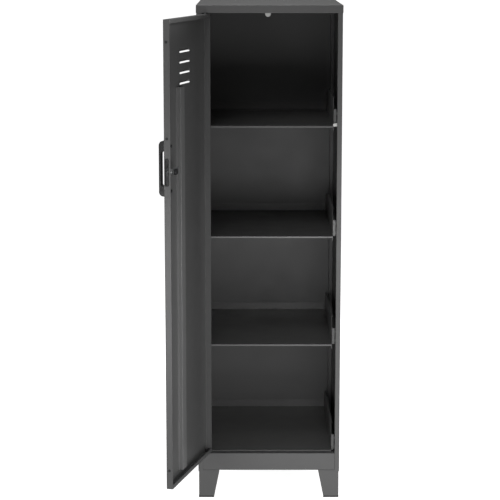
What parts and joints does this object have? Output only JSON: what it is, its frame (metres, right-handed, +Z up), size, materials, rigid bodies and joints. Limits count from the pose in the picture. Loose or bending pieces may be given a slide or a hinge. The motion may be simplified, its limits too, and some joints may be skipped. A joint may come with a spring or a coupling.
{
  "type": "locker cabinet",
  "caption": "Narrow sheet-steel locker on tapered legs, with a louvred left-hinged door, cam lock, pull handle and hook-in shelves.",
  "frame": {"origin": "floor level, under the middle of the carcass (side to side and front to back, without the open door)", "axes": "+X to the viewer's right, -Y out of the front, +Z up; at rest the door stands open at 105 degrees"},
  "size_m": [0.4668, 0.8199, 1.321],
  "materials": {
    "cabinet_paint": "graphite grey powder coat, fine satin grain",
    "door_paint": "graphite grey powder coat, fine satin grain",
    "shelf_paint": "graphite grey powder coat, slightly glossier",
    "zinc_steel": "bright zinc plate",
    "lock_chrome": "satin chrome",
    "handle_black": "satin black",
    "nut_black": "black oxide",
    "white_nylon": "white nylon",
    "black_nylon": "black nylon"
  },
  "bodies": {
    "cabinet": {"top_panel": "cabinet_paint", "right_side_panel": "cabinet_paint", "left_side_panel": "cabinet_paint", "back_panel": "cabinet_paint", "back_panel_screws": "zinc_steel", "front_base_rail": "cabinet_paint", "rear_base_rail": "cabinet_paint", "right_base_rail": "cabinet_paint", "left_base_rail": "cabinet_paint", "front_right_leg": "cabinet_paint", "front_left_leg": "cabinet_paint", "rear_right_leg": "cabinet_paint", "rear_left_leg": "cabinet_paint", "foot_glides": "black_nylon", "leg_bolts": "zinc_steel", "leg_nuts": "zinc_steel", "front_right_post": "cabinet_paint", "front_left_post": "cabinet_paint", "rear_right_post": "cabinet_paint", "rear_left_post": "cabinet_paint", "floor_tray": "shelf_paint", "floor_tray_right_bracket": "shelf_paint", "floor_tray_left_bracket": "shelf_paint", "floor_tray_rivets": "shelf_paint", "header_bumper": "white_nylon", "side_bumper": "white_nylon", "upper_hinge_pin": "zinc_steel", "lower_hinge_pin": "zinc_steel", "hinge_washer": "black_nylon"},
    "door": {"door_panel": "door_paint", "door_stiffener": "door_paint", "handle": "handle_black", "handle_screws": "nut_black", "upper_hinge_bush": "black_nylon", "lower_hinge_bush": "black_nylon", "lock_barrel": "lock_chrome", "lock_washer": "zinc_steel", "lock_nut": "zinc_steel", "edge_plugs": "black_nylon"},
    "lock": {"lock_plug": "lock_chrome", "latch_cam": "zinc_steel", "cam_nut": "nut_black"},
    "lower_shelf": {"lower_shelf": "shelf_paint", "lower_shelf_right_bracket": "shelf_paint", "lower_shelf_left_bracket": "shelf_paint", "lower_shelf_rivets": "shelf_paint"},
    "middle_shelf": {"middle_shelf": "shelf_paint", "middle_shelf_right_bracket": "shelf_paint", "middle_shelf_left_bracket": "shelf_paint", "middle_shelf_rivets": "shelf_paint"},
    "upper_shelf": {"upper_shelf": "shelf_paint", "upper_shelf_right_bracket": "shelf_paint", "upper_shelf_left_bracket": "shelf_paint", "upper_shelf_rivets": "shelf_paint"}
  },
  "joints": [
    {"name": "door_hinge", "type": "hinge", "parent": "cabinet", "child": "door", "pos_m": [-0.16725, -0.24, 0.7], "axis": [0, 0, -1], "range_deg": [-105, 10]},
    {"name": "lock_turn", "type": "hinge", "parent": "door", "child": "lock", "pos_m": [-0.25425, -0.54539, 0.927], "axis": [-0.9659, 0.2588, 0], "range_deg": [0, 180]},
    {"name": "lower_shelf_lift", "type": "slide", "parent": "cabinet", "child": "lower_shelf", "axis": [0, 0, 1], "range_m": [0, 0.0065]},
    {"name": "middle_shelf_lift", "type": "slide", "parent": "cabinet", "child": "middle_shelf", "axis": [0, 0, 1], "range_m": [0, 0.0065]},
    {"name": "upper_shelf_lift", "type": "slide", "parent": "cabinet", "child": "upper_shelf", "axis": [0, 0, 1], "range_m": [0, 0.0065]}
  ]
}
